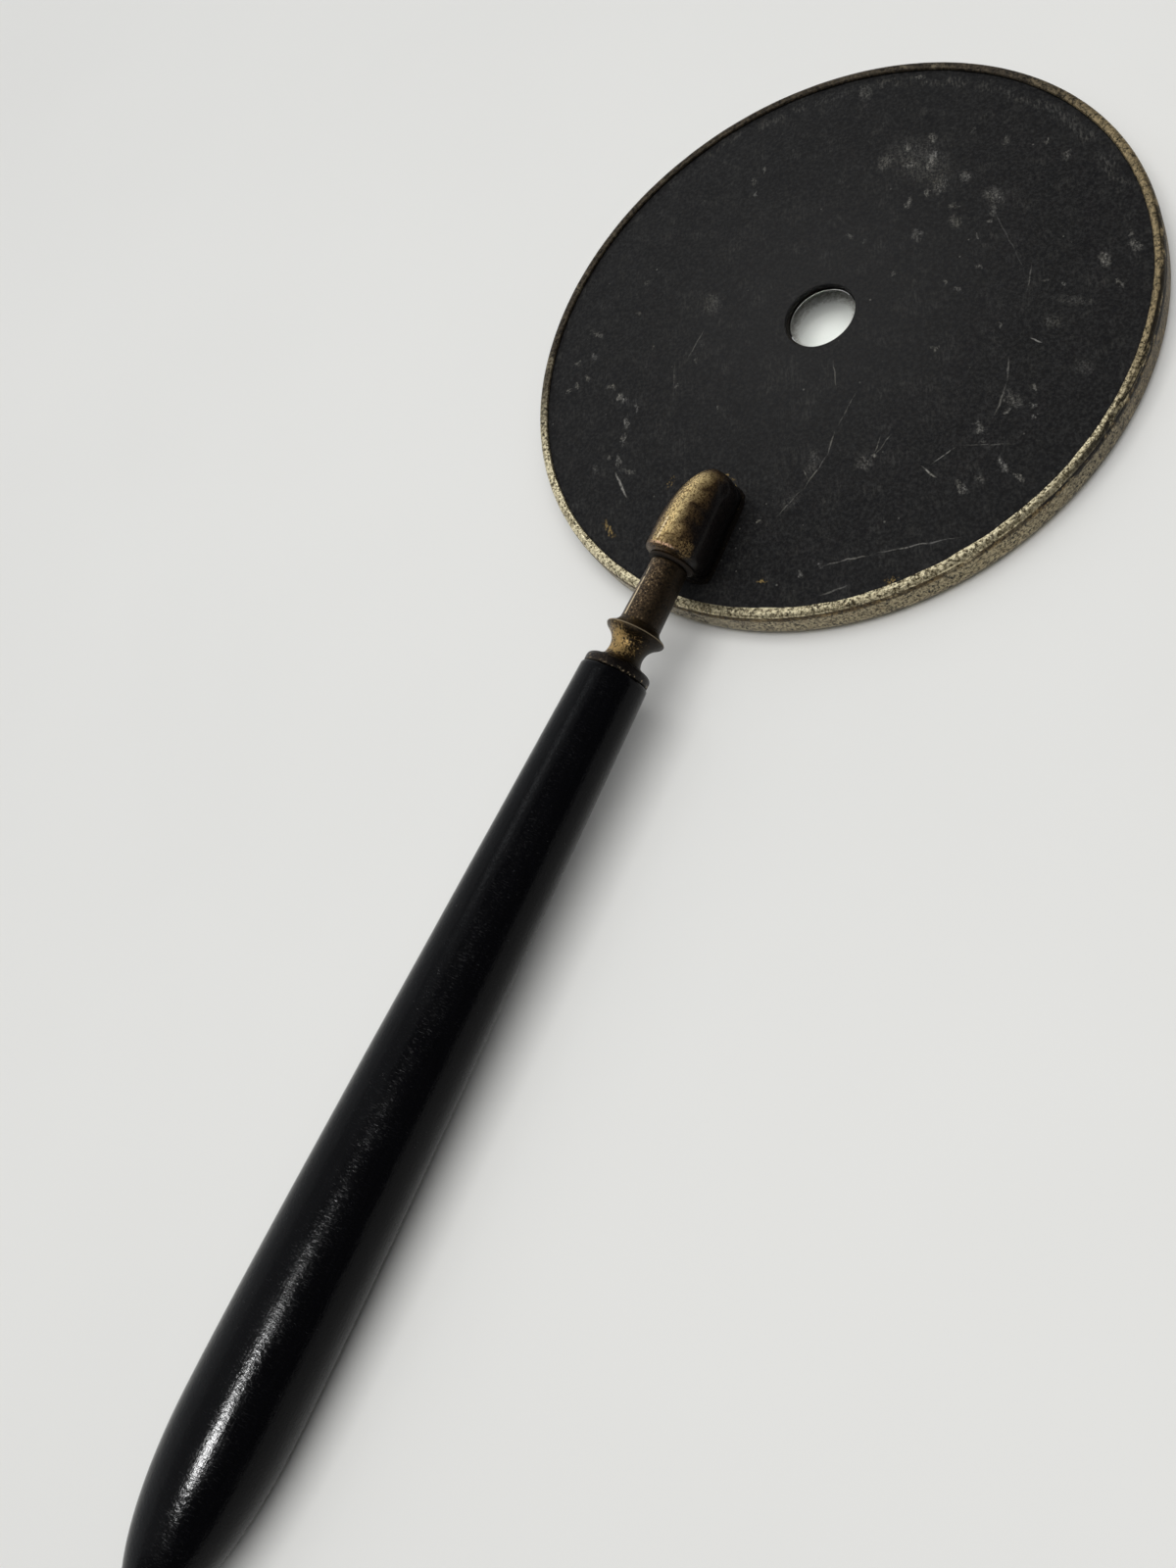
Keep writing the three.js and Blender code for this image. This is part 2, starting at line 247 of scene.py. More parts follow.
class Paint:
    """A material's node tree. Values are numbers or sockets, and lengths are in millimetres."""

    def __init__(self, name, place):
        self.material = bpy.data.materials.new(name)
        self.material.use_nodes = True
        self.tree = self.material.node_tree
        self.shader = self.tree.nodes["Principled BSDF"]
        point = self.node("ShaderNodeTexCoord").outputs["Object"]
        self.mm = self.mapping(point, place.translation, place.to_euler(), (MM, MM, MM))
        self.x, self.y, self.z = self.node("ShaderNodeSeparateXYZ", self.mm).outputs
        squares = self.add(self.math("POWER", self.x, 2), self.math("POWER", self.y, 2))
        self.radius = self.math("SQRT", squares)
        self.angle = self.math("ARCTAN2", self.y, self.x)

    def node(self, kind, *values, **settings):
        """A new node with these settings, and with the values fed to its first sockets."""
        made = self.tree.nodes.new(kind)
        for key, value in settings.items():
            setattr(made, key, value)
        for socket, value in zip(made.inputs, values):
            self.feed(socket, value)
        return made

    def feed(self, socket, value):
        if isinstance(value, bpy.types.NodeSocket):
            self.tree.links.new(value, socket)
        elif socket.type == "RGBA":
            socket.default_value = (*value, 1)
        else:
            socket.default_value = value

    def set(self, **values):
        """Sets the shader's sockets, named with underscores for spaces."""
        for key, value in values.items():
            self.feed(self.shader.inputs[key.replace("_", " ")], value)

    def vector(self, operation, *values):
        made = self.node("ShaderNodeVectorMath", *values, operation=operation)
        return made.outputs["Value" if operation == "LENGTH" else "Vector"]

    def math(self, operation, a, b=0.0):
        return self.node("ShaderNodeMath", a, b, operation=operation).outputs[0]

    def fold(self, operation, values):
        total = values[0]
        for value in values[1:]:
            total = self.math(operation, total, value)
        return total

    def times(self, *values):
        return self.fold("MULTIPLY", values)

    def add(self, *values):
        return self.fold("ADD", values)

    def most(self, *values):
        return self.fold("MAXIMUM", values)

    def less(self, a, b):
        return self.math("SUBTRACT", a, b)

    def mix(self, factor, a, b):
        made = self.node("ShaderNodeMix", factor, data_type="RGBA")
        self.feed(made.inputs[6], a)
        self.feed(made.inputs[7], b)
        return made.outputs[2]

    def step(self, value, low, high, bottom=0.0, top=1.0):
        """A smooth step of value, from bottom at low to top at high. low may be the larger one."""
        values = (value, low, high, bottom, top)
        return self.node("ShaderNodeMapRange", *values, interpolation_type="SMOOTHSTEP").outputs[0]

    def band(self, value, centre, width, soft):
        """1 where value is within width / 2 of centre, falling to 0 over soft."""
        away = self.math("ABSOLUTE", self.less(value, centre))
        return self.step(away, width / 2 + soft, width / 2)

    def mapping(self, *values):
        """A vector in a frame of its own, from that vector and a location, rotation and scale."""
        return self.node("ShaderNodeMapping", *values, vector_type="TEXTURE").outputs[0]

    def moved(self, turn=0.0, stretch=(1, 1, 1), seed=0):
        """The place for a texture that is longer along axes turned about z by degrees."""
        location = (seed * 17.3, seed * 5.9, seed * 31.7)
        return self.mapping(self.mm, location, (0, 0, math.radians(turn)), stretch)

    def rimwise(self, stretch):
        """The place as distance round the rim, radius and height, for a texture that runs on."""
        along = self.times(self.angle, DISC_RADIUS / stretch)
        return self.node("ShaderNodeCombineXYZ", along, self.radius, self.z).outputs[0]

    def noise(self, size, detail=4, roughness=0.6, place=None, output=0, **moved):
        """Noise from 0 to 1 with features of about that size in millimetres. Output 1 is a colour."""
        values = (place or self.moved(**moved), 0, 1 / size, detail, roughness)
        return self.node("ShaderNodeTexNoise", *values).outputs[output]

    def ragged(self, size, reach, seed=0):
        """The place in millimetres, pushed about by up to reach, so that marks get ragged outlines."""
        push = self.vector("SUBTRACT", self.noise(size, 2, 0.5, output=1, seed=seed), (0.5, 0.5, 0.5))
        return self.vector("ADD", self.mm, self.vector("MULTIPLY", push, [2 * reach] * 3))

    def specks(self, size, share, spread=0.3, seed=0):
        """Round spots: a share of the cells of that size hold one, up to spread cells in radius."""
        cells = self.node("ShaderNodeTexVoronoi", self.moved(seed=seed), 0, 1 / size)
        chance, width, _ = self.node("ShaderNodeSeparateColor", cells.outputs["Color"]).outputs
        chosen = self.step(chance, 1 - share, 1 - share + 0.01)
        beyond = self.less(cells.outputs["Distance"], self.times(width, spread))
        return self.times(chosen, self.step(beyond, 0.05, -0.05))

    def bump(self, *layers):
        """Bump from (height, depth) layers, with heights from 0 to 1 and depths in millimetres."""
        made = self.node("ShaderNodeBump")
        self.feed(made.inputs["Height"], self.add(*[self.times(*layer) for layer in layers]))
        made.inputs["Strength"].default_value = 1
        made.inputs["Distance"].default_value = MM
        self.set(Normal=made.outputs[0])

    def mark(self, place, centre, length, width, turn, strength):
        """A soft oval on the disc, at full strength in the middle, its length turned by degrees."""
        scale = (length / 2, width / 2, FLAT)
        here = self.mapping(place, (*centre, 0), (0, 0, math.radians(turn)), scale)
        return self.step(self.vector("LENGTH", here), 0.25, 1.0, strength, 0.0)

    def strongest(self, place, rows):
        """The strongest of many marks, from rows of centre, length, width, turn and strength.

        The height of the place is of no account to a mark, so it carries the total so far. That makes
        each mark wait for the one before, and a hundred marks then need no more room than one.
        """
        total = self.times(self.z, 0.001)
        for x, y, *shape in rows:
            here = self.vector("MULTIPLY_ADD", total, (0, 0, 1), place)
            total = self.most(total, self.mark(here, (x, y), *shape))
        return total


def scratch(start, end, width, strength):
    """A scratch between two points of the disc, as a row for Paint.strongest."""
    run, rise = end[0] - start[0], end[1] - start[1]
    turn = math.degrees(math.atan2(rise, run))
    middle = ((start[0] + end[0]) / 2, (start[1] + end[1]) / 2)
    return (*middle, math.hypot(run, rise) * 1.15, width, turn, strength)


def dress(piece, body, node, paint):
    """Gives a piece its material and its body, and hides the CAD node that it stands for."""
    piece.data.materials.clear()
    piece.data.materials.append(paint.material)
    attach(piece, body)
    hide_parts(node)
    return piece


# -------- the disc


def layer_profile(crown, thickness, inner, outer, steps, edge=0.08):
    """A domed layer with slightly broken edges, closed round a hole if inner is above 0."""
    bottom = crown - thickness
    outside = [(outer, dome_height(bottom, outer) + edge), (outer, dome_height(crown, outer) - edge)]
    radii = [mix(inner, outer, i / steps) for i in range(steps + 1)]
    radii[0] = inner + edge if inner > 0 else 0
    radii[-1] = outer - edge
    profile = [(r, dome_height(bottom, r)) for r in radii] + outside
    profile += [(r, dome_height(crown, r)) for r in reversed(radii)]
    if inner > 0:
        profile.append((inner, dome_height(crown, inner) - edge))
        profile.append((inner, dome_height(bottom, inner) + edge))
    return profile


SMEARS = (
    # centre x, centre y, length, width, turn, strength
    (1, 26, 3.4, 1.7, 10, 1), (3.8, 27.4, 5, 2.2, -75, 1), (2, 31, 3, 2, -60, 0.7),
    (-0.8, 28.8, 2.5, 2.5, 0, 0.6), (-3, 26, 5, 3, -70, 0.45), (2, 27, 17, 9, -25, 0.28),
    (10, 25.2, 3, 2, -45, 0.6), (7, 23.5, 6, 3, -60, 0.5), (6, 21.5, 2.2, 0.9, -60, 0.95),
    (4, 19.7, 2.6, 1, -70, 0.85), (15.5, 22.8, 5, 3, -30, 0.6), (12.2, 17.7, 3.2, 2.4, -30, 0.6),
    (10.8, 20.1, 2.6, 1, 10, 0.5), (16.5, 20.5, 3, 1.3, -60, 0.6), (16.8, 18.6, 1.2, 0.8, 0, 0.8),
    (8, 14.6, 3.4, 2, -65, 0.45), (16.4, 15.9, 1.4, 0.7, -60, 0.8), (18.6, 11.4, 1.5, 0.9, 0, 0.7),
    (17.5, 7.5, 1.5, 0.8, 0, 0.9), (15.2, 8.2, 1.4, 0.8, -60, 0.55), (7.6, 8.2, 1.2, 0.7, 0, 0.5),
    (0.7, 12.6, 1.3, 0.9, -60, 0.5), (-1.8, 12.9, 2.6, 0.9, -30, 0.45), (18.3, 33, 1.7, 0.8, -60, 0.7),
    (22, 31, 3.2, 1.6, -75, 0.6), (12.8, 32, 2.2, 1.2, -90, 0.5), (7.3, 33, 1.8, 0.9, -70, 0.4),
    (34, 16.2, 3.2, 2.1, -60, 0.85), (36.8, 19, 3.2, 1.7, -35, 0.8), (35.3, 20.7, 1.7, 0.9, -60, 0.6),
    (37.2, 13.3, 2, 1.1, -40, 0.7), (30.5, 11.5, 1.1, 0.7, 0, 0.7), (28.3, 11.4, 1.3, 0.8, 0, 0.6),
    (31.7, 5.8, 3.8, 2.6, 0, 0.3), (33, 9.4, 8, 2, 8, 0.22), (25.2, 3.7, 1.3, 0.8, -60, 0.6),
    (38, 0.6, 4, 3, 0, 0.24), (18.5, -1.6, 1.9, 0.8, -20, 0.6), (33.5, -3.8, 1.9, 0.9, 0, 0.9),
    (31.6, -6, 5, 2.6, -20, 0.4), (31.5, -7.8, 1.1, 0.9, 0, 0.9), (34.3, -6.2, 1, 0.8, 0, 0.9),
    (35.2, -7.7, 1.3, 0.7, -90, 0.6), (29.3, -11, 3.2, 1.1, -35, 0.8), (30.2, -12.5, 1.1, 0.7, 0, 0.6),
    (34, -14.9, 3.5, 1.1, -50, 1), (36.5, -15.9, 2.8, 1, -15, 1), (30.4, -19.2, 3.2, 1.3, -35, 1),
    (32, -17.5, 2.2, 1.1, 0, 0.45), (17.4, -18.3, 1.1, 0.9, 0, 1), (16.5, -19.4, 3.6, 2.6, 0, 0.4),
    (9.5, -21, 5.5, 2.6, -80, 0.3), (9, -27, 4.5, 3, 60, 0.18), (14.7, -36, 1.2, 1, 0, 0.8),
    (17, -34.2, 1.1, 0.7, 0, 0.8), (5.8, -30.7, 0.9, 0.7, 0, 0.7), (-28, -16.5, 2.4, 1.1, 10, 1),
    (-25.3, -17.7, 3.2, 1.3, -20, 0.9), (-22, -18.6, 3, 1, -60, 0.55), (-22.2, -21.5, 3, 0.9, -65, 0.9),
    (-21.3, -24, 2.8, 1, -65, 1), (-20.4, -27.3, 3.2, 1, -60, 0.8), (-18, -28.5, 4, 1.2, -5, 0.4),
    (-36, -8.3, 3.8, 1.1, -10, 0.6), (-34.2, -12, 2.1, 0.9, -40, 0.45),
    (-36.7, -13.5, 1.8, 1.3, 40, 0.6), (-33.5, -15.6, 2.4, 1.1, -20, 0.8),
    (-34.6, -17, 1.5, 0.9, -30, 0.8), (-35.8, -18, 1.4, 0.8, 0, 0.7),
    (-22.6, -27.2, 1.4, 0.8, -90, 0.55), (-24, -29, 2.2, 1.1, -60, 0.35),
    (-24.3, -9.2, 1.6, 0.8, -50, 0.55), (-18.3, -1.7, 1.4, 1, -60, 0.5), (-18, -1, 6, 4, -45, 0.3),
    (-15.5, -10.2, 1.2, 0.7, -40, 0.5), (-16.7, -14.5, 1, 0.8, 0, 0.7), (-8.2, -16.5, 0.8, 0.6, 0, 0.7),
    (-30, -4, 1.4, 1.1, 0, 0.35), (-22, 22.8, 1.8, 0.9, -60, 0.75), (-22.8, 20.6, 1.7, 0.9, -60, 0.6),
    (-20.9, 18.2, 1.3, 0.7, -60, 0.5), (-31.5, 1.2, 2, 1.1, -45, 0.4), (-13, 38.5, 5, 3, -60, 0.4),
    (-6, 42, 3, 0.9, 0, 0.7),
)
SCRATCHES = (
    # start, end, width, strength
    ((-20.3, -28.8), (-15.9, -32.4), 0.5, 1), ((24.2, -18), (26.8, -18.8), 0.36, 1),
    ((25.2, -17.5), (27.5, -14), 0.24, 0.6), ((27.5, -14), (35, -11.6), 0.24, 0.25),
    ((16.9, -34.3), (23.6, -30.6), 0.3, 0.5), ((22.4, -31.2), (33.5, -25.2), 0.3, 0.5),
    ((28.4, -0.3), (29.8, -4), 0.4, 0.4), ((29.8, -4), (30.3, -9), 0.4, 0.4),
    ((18.4, -14.6), (17.5, -18), 0.3, 0.6), ((17, -15), (17.3, -18), 0.24, 0.4),
    ((5.3, -6), (8, -10.5), 0.28, 0.35), ((10.9, -9.5), (10.6, -16), 0.28, 0.25),
    ((10.5, -16), (11.2, -19.9), 0.3, 0.45), ((11.2, -19.5), (10, -25), 0.3, 0.45),
    ((10, -24.6), (8, -29.7), 0.3, 0.35), ((8.8, -22.3), (10, -23.5), 0.3, 0.5),
    ((-17, -4.6), (-17.2, -11), 0.3, 0.3), ((25.3, 13.5), (26.5, 9), 0.28, 0.35),
    ((29.8, 2.9), (31.7, 2.5), 0.3, 0.8), ((14, 23), (25.5, 11.5), 0.28, 0.2),
    ((18.6, -38), (22, -35.5), 0.4, 0.4), ((-19, -11), (-17, -15), 0.26, 0.3),
)
CHIPS = (
    (-16.8, -37.3, 4.4, 1.3, -32, 1), (-10.1, -28.6, 2.6, 1, 88, 1), (10.1, -38.4, 1.7, 0.7, 0, 1),
    (27.2, -33.2, 3, 1, 33, 1), (-1.5, -25.9, 3.4, 0.6, -20, 1), (0.4, -27, 1.7, 0.5, -50, 1),
)


def black_leather_paint():
    """Matt black covering: fine grain, scuffs brushed mostly one way, a few long scratches and dust."""
    paint = Paint("black_plate", DISC_PLACE)
    brushing = -60
    grain = paint.noise(0.5, 4, 0.72, seed=1)
    cloud = paint.noise(11, 3, 0.5, seed=2)
    haze = paint.noise(3.2, seed=3)
    brushed = paint.noise(0.4, 4, 0.65, turn=brushing, stretch=(3, 0.8, 1), seed=4)
    streaks = paint.step(brushed, 0.42, 0.66)
    dotted = paint.step(paint.noise(0.3, 4, 0.8, seed=12), 0.5, 0.6)
    ragged = paint.ragged(0.75, 0.85, seed=5)
    filling = paint.add(0.05, paint.times(streaks, 0.55), paint.times(dotted, 0.85))
    smears = paint.times(paint.strongest(ragged, SMEARS), filling)
    wavering = paint.ragged(1.6, 0.28, seed=6)
    broken = paint.step(paint.noise(0.6, 3, seed=7), 0.36, 0.56)
    scratches = paint.strongest(wavering, [scratch(*row) for row in SCRATCHES])
    scratches = paint.times(scratches, paint.add(0.3, broken))
    rubbed = paint.times(paint.step(haze, 0.42, 0.75), streaks, 0.13)
    upper_rim = paint.times(paint.band(paint.radius, 41.6, 0.8, 1.4), paint.step(paint.y, 8, 34))
    rim = paint.times(upper_rim, paint.step(haze, 0.42, 0.62), streaks, 0.28)
    dust = paint.times(paint.specks(1.5, 0.14, 0.1, seed=8), 0.5)
    littered = paint.mark(paint.mm, (6, -33.5), 17, 9, 80, 0.75)
    crumbs = paint.times(paint.specks(0.7, 0.35, 0.22, seed=9), littered)
    marks = paint.most(smears, scratches, rubbed, rim, dust, crumbs)
    speckle = paint.step(grain, 0.38, 0.74)
    ground = paint.mix(cloud, (0.0058, 0.0058, 0.0066), (0.0098, 0.0098, 0.0104))
    handled = paint.times(paint.step(paint.radius, 34, 6), 0.5)
    ground = paint.mix(handled, ground, (0.023, 0.023, 0.024))
    grained = paint.mix(speckle, ground, (0.025, 0.025, 0.025))
    warm = paint.mix(paint.noise(4, 2, 0.5, seed=10), (0.3, 0.3, 0.31), (0.33, 0.31, 0.24))
    colour = paint.mix(paint.times(marks, 0.54), grained, warm)
    crumbled = paint.step(paint.noise(0.5, 3, seed=11), 0.44, 0.56)
    chips = paint.times(paint.strongest(ragged, CHIPS), crumbled)
    colour = paint.mix(chips, colour, (0.2, 0.14, 0.055))
    paint.set(Base_Color=colour, Roughness=paint.step(marks, 0, 1, 0.62, 0.52), Specular_IOR_Level=0.12)
    paint.bump((grain, 0.03), (marks, 0.012), (cloud, 0.05))
    return paint


def back_plate():
    unevenness = 0.03

    def uneven(row, radius, height, angle):
        return radius, height + unevenness * wander(angle, radius / 9, 3)

    profile = layer_profile(PLATE_CROWN, PLATE_THICKNESS, PLATE_HOLE, LAYER_RADIUS, 26)
    plate = revolve("back_plate_shell", profile, 192, DISC_PLACE, uneven, ring=True)
    return dress(plate, "head", "back_plate", black_leather_paint())


def off_centre(row, radius, height, angle):
    """Moves the hole of a layer by WINDOW_SHIFT and leaves the layer in place beyond a radius of 12."""
    shift = WINDOW_SHIFT[0] * math.cos(angle) + WINDOW_SHIFT[1] * math.sin(angle)
    return radius + smooth(radius, 12, 6) * shift, height


def packing_card():
    paint = Paint("blackened_card", DISC_PLACE)
    fibre = paint.noise(0.25)
    paint.set(Base_Color=paint.mix(fibre, (0.008, 0.007, 0.006), (0.03, 0.026, 0.022)), Roughness=0.9)
    paint.bump((fibre, 0.03))
    profile = layer_profile(CARD_CROWN, CARD_THICKNESS, CARD_HOLE, LAYER_RADIUS, 12)
    card = revolve("packing_card_disc", profile, 128, DISC_PLACE, off_centre, ring=True)
    return dress(card, "head", "packing_card", paint)


def silver_coating():
    paint = Paint("silvering", DISC_PLACE)
    spoiled = paint.step(paint.noise(1.4), 0.62, 0.75)
    near_edge = paint.most(paint.step(paint.radius, 41.5, 44.1), paint.step(paint.radius, 5.6, 4.7))
    browning = paint.times(spoiled, near_edge)
    colour = paint.mix(browning, (0.9, 0.9, 0.88), (0.16, 0.12, 0.08))
    paint.set(Base_Color=colour, Metallic=1.0, Roughness=paint.step(browning, 0, 1, 0.03, 0.45))
    profile = layer_profile(SILVER_CROWN, SILVER_THICKNESS, SILVER_WINDOW, GLASS_RADIUS, 26, edge=0.03)
    silver = revolve("silver_coating_film", profile, 192, DISC_PLACE, off_centre, ring=True)
    return dress(silver, "head", "silver_coating", paint)


def mirror_glass():
    paint = Paint("clear_glass", DISC_PLACE)
    smear = paint.step(paint.noise(3, turn=35, stretch=(2.5, 1, 1)), 0.45, 0.8)
    specked = paint.step(paint.noise(0.5, 4, 0.7), 0.35, 0.6)
    # A grey, specked ring at the window's edge: dirt, and painted shade on the view down through the
    # hole.
    edge_dirt_and_shade = paint.times(paint.band(paint.radius, SILVER_WINDOW, 0.3, 0.8), specked)
    tint = paint.mix(edge_dirt_and_shade, (0.86, 0.88, 0.86), (0.46, 0.44, 0.4))
    paint.set(Base_Color=tint, Transmission_Weight=1.0, IOR=1.52, Roughness=paint.times(smear, 0.03))
    steps = 26
    front = GLASS_CROWN - GLASS_THICKNESS
    rim = GLASS_RADIUS - GLASS_BEVEL
    radii = [rim * i / steps for i in range(steps + 1)]
    profile = [(r, dome_height(front, r)) for r in radii]
    profile += [(GLASS_RADIUS, dome_height(front, GLASS_RADIUS) + GLASS_BEVEL)]
    profile += [(GLASS_RADIUS, dome_height(GLASS_CROWN, GLASS_RADIUS) - GLASS_BEVEL)]
    profile += [(r, dome_height(GLASS_CROWN, r)) for r in reversed(radii)]
    glass = revolve("mirror_glass_lens", profile, 192, DISC_PLACE)
    glass.visible_shadow = False
    return dress(glass, "head", "mirror_glass", paint)


def bezel_paint():
    """Worn pale brass: bright on the bead, blackened along the groove, browner at the upper right, and
    greyer and pitted on the wall. Painted shade darkens the upper left and the wall's foot by the
    table."""
    paint = Paint("worn_bezel_brass", DISC_PLACE)
    fine = paint.noise(0.42, 4, 0.75, seed=11)
    mottle = paint.step(fine, 0.36, 0.64)
    blotch = paint.noise(1.5, 4, 0.65, seed=12)
    patina = paint.noise(6, 3, seed=13)
    outside = paint.step(paint.radius, 44.5, 44.85)
    on_wall = paint.times(outside, paint.step(paint.z, 4.6, 4.1))
    ragged_z = paint.add(paint.z, paint.times(blotch, 0.9))
    groove = paint.times(outside, paint.band(ragged_z, 4.95, 0.5, 0.35))
    right_side = paint.times(paint.step(paint.x, 26, 40), paint.step(paint.y, -26, -8))
    upper_right = paint.step(paint.add(paint.times(paint.x, 0.75), paint.times(paint.y, 0.65)), 24, 40)
    shaded_upper_left = paint.step(paint.less(paint.times(paint.y, 0.66), paint.times(paint.x, 0.75)), 2, 22)
    bare = paint.mix(mottle, (0.17, 0.13, 0.06), (1.0, 0.89, 0.6))
    grey = paint.mix(mottle, (0.07, 0.054, 0.028), (0.44, 0.375, 0.235))
    brown = paint.mix(mottle, (0.035, 0.024, 0.01), (0.3, 0.21, 0.095))
    black = (0.012, 0.009, 0.006)
    browning = paint.most(
        paint.times(groove, paint.step(patina, 0.2, 0.5)),
        paint.times(upper_right, paint.step(fine, 0.28, 0.52), 0.85),
        paint.times(on_wall, paint.step(blotch, 0.55, 0.72), 0.6),
        # painted shade: the wall browns towards its foot, where it meets the table
        paint.times(on_wall, paint.step(paint.z, 1.1, 0.5), 0.8),
    )
    run_on = paint.noise(0.9, 4, 0.7, place=paint.rimwise(4))
    bead_side = paint.times(right_side, paint.band(paint.radius, 44.7, 0.36, 0.22))
    stained = paint.most(
        paint.times(groove, paint.step(run_on, 0.4, 0.54), paint.add(0.6, right_side)),
        paint.times(bead_side, paint.step(run_on, 0.38, 0.48), 0.95),
        paint.times(paint.step(run_on, 0.6, 0.68), 0.4),
    )
    pits = paint.most(
        paint.specks(0.5, 0.34, 0.36, seed=14),
        paint.step(fine, 0.42, 0.36),
        paint.times(paint.step(blotch, 0.46, 0.4), paint.step(fine, 0.52, 0.45)),
    )
    dark = paint.most(stained, paint.times(pits, paint.add(0.7, paint.times(on_wall, 0.2))))
    # Painted shade: the rim's upper left is darker, where the bead reflects little light.
    shade_colour = paint.mix(mottle, (0.016, 0.012, 0.008), (0.085, 0.066, 0.042))
    painted_shade = paint.times(shaded_upper_left, paint.step(patina, 0.3, 0.42, 0.8, 1.0))
    metal = paint.mix(painted_shade, paint.mix(browning, paint.mix(on_wall, bare, grey), brown), shade_colour)
    colour = paint.mix(dark, metal, black)
    dull = paint.most(browning, dark, painted_shade)
    paint.set(Base_Color=colour, Metallic=paint.step(dull, 0, 1, 0.86, 0.5),
              Roughness=paint.step(dull, 0, 1, 0.34, 0.55))
    paint.bump((fine, 0.06), (pits, -0.06), (blotch, 0.06), (patina, 0.05))
    return paint


def rim_bezel():
    """The spun bezel: a channel with a flat front lip and a rolled bead that waves a little by hand."""
    front_corner = 1.7
    bead = 0.72
    bead_height = BEZEL_HEIGHT - bead
    inner_wall = DISC_RADIUS - BEZEL_WALL
    underside = dome_height(PLATE_CROWN, LIP_OPENING) + 0.12
    lowest = math.radians(-62)
    profile = line((BEZEL_OPENING, 0), (DISC_RADIUS - front_corner, 0), 3)
    profile += arc(DISC_RADIUS - front_corner, front_corner, front_corner, -90, 0, 10)
    profile += line((DISC_RADIUS, front_corner + 0.2), (DISC_RADIUS, bead_height - 0.45), 5)
    profile += spline([
        (DISC_RADIUS, bead_height - 0.35),
        (DISC_RADIUS - 0.1, bead_height - 0.1),
        (DISC_RADIUS - 0.13, bead_height + 0.02),
        (DISC_RADIUS - 0.06, bead_height + 0.15),
    ], 3)
    profile += arc(DISC_RADIUS - bead - 0.04, bead_height, bead, 18, 112, 12)
    profile += [(LIP_OPENING + 0.12, underside + 0.42), (LIP_OPENING + 0.02, underside + 0.25)]
    profile += [(LIP_OPENING, underside + 0.12), (LIP_OPENING + 0.06, underside)]
    profile += [(inner_wall, underside - 0.06), (inner_wall, 1.05), (inner_wall - 0.4, 0.6)]
    profile += [(BEZEL_OPENING + 0.1, 0.6), (BEZEL_OPENING, 0.5), (BEZEL_OPENING, 0.1)]

    def spun(row, radius, height, angle):
        below = max(0.0, math.cos(angle - lowest))
        lip = smooth(height, 4.95, 5.25) * smooth(radius, 44.5, 43.7)
        wave = (0.07 + 0.11 * below) * wander(angle, 9, 1) + 0.05 * wander(angle, 30, 2)
        top = smooth(height, 4.4, 5.4)
        crown = top * (0.03 * wander(angle, 5, 3) + 0.02 * wander(angle, 22, 4))
        shoulder = smooth(height, 3.2, 4.2) * smooth(radius, 44.7, 44.95)
        dent = -0.05 * shoulder * abs(wander(angle, 14, 5))
        return radius + lip * wave + dent, height + crown - 0.03 * top

    bezel = revolve("rim_bezel_spun", profile, 420, DISC_PLACE, spun, ring=True, crease=50)
    return dress(bezel, "head", "rim_bezel", bezel_paint())


# -------- the socket

SEAT_STATION = (SOCKET_TIP + SOCKET_MOUTH) / 2
SEAT_SLOPE = math.atan(SEAT_STATION / DOME_RADIUS)
SEAT_GAP = 0.55
SEAT_DEPTH = (AXIS_HEIGHT - SEAT_STATION * math.sin(DROOP)
              - dome_height(PLATE_CROWN, SEAT_STATION) - SEAT_GAP) * math.cos(DROOP)
FOOT_ANGLE = math.radians(156)


def foot_depth(station):
    """Distance from the socket's axis down to the plane that its foot stands on."""
    return SEAT_DEPTH + (station - SEAT_STATION) * math.tan(SEAT_SLOPE - DROOP)


def nose(station, length, power):
    share = min(max((station - SOCKET_TIP) / length, 0), 1)
    return (1 - (1 - share) ** power) ** (1 / power)


def socket_radius(station, angle):
    """The socket's radius: a long bullet above, a blunter and wider one below, and a narrow foot."""
    from_top = abs(math.atan2(math.cos(angle), math.sin(angle)))
    rounding = 1 - 0.17 * smooth(station, SOCKET_MOUTH - 0.75, SOCKET_MOUTH) ** 2
    upper = SOCKET_RADIUS * nose(station, 10, 1.9) * rounding
    spread = 1 + 0.006 * (station - SOCKET_TIP - 3.2)
    tucked = 1 - 0.22 * smooth(station, SOCKET_MOUTH - 2.4, SOCKET_MOUTH) ** 2
    lower = SOCKET_RADIUS * spread * nose(station, 3.2, 2) * rounding * tucked
    body = mix(upper, lower, smooth(from_top, math.pi / 3, FOOT_ANGLE - 0.5))
    to_foot = foot_depth(station) / abs(math.cos(max(from_top, FOOT_ANGLE)))
    foot = to_foot * nose(station, 1.2, 2) * tucked
    return mix(body, foot, smooth(from_top, FOOT_ANGLE - 0.5, FOOT_ANGLE))


def thread_height(station, angle):
    """How far the screw thread stands up, from 0 at its root to 1 at its crest."""
    return 0.5 + 0.5 * math.cos(FULL_TURN * station / PITCH - angle)


def thread_rows(start, end, radius):
    count = math.ceil(abs(end - start) / (PITCH / 14))
    return [(radius, mix(start, end, i / count)) for i in range(count + 1)]


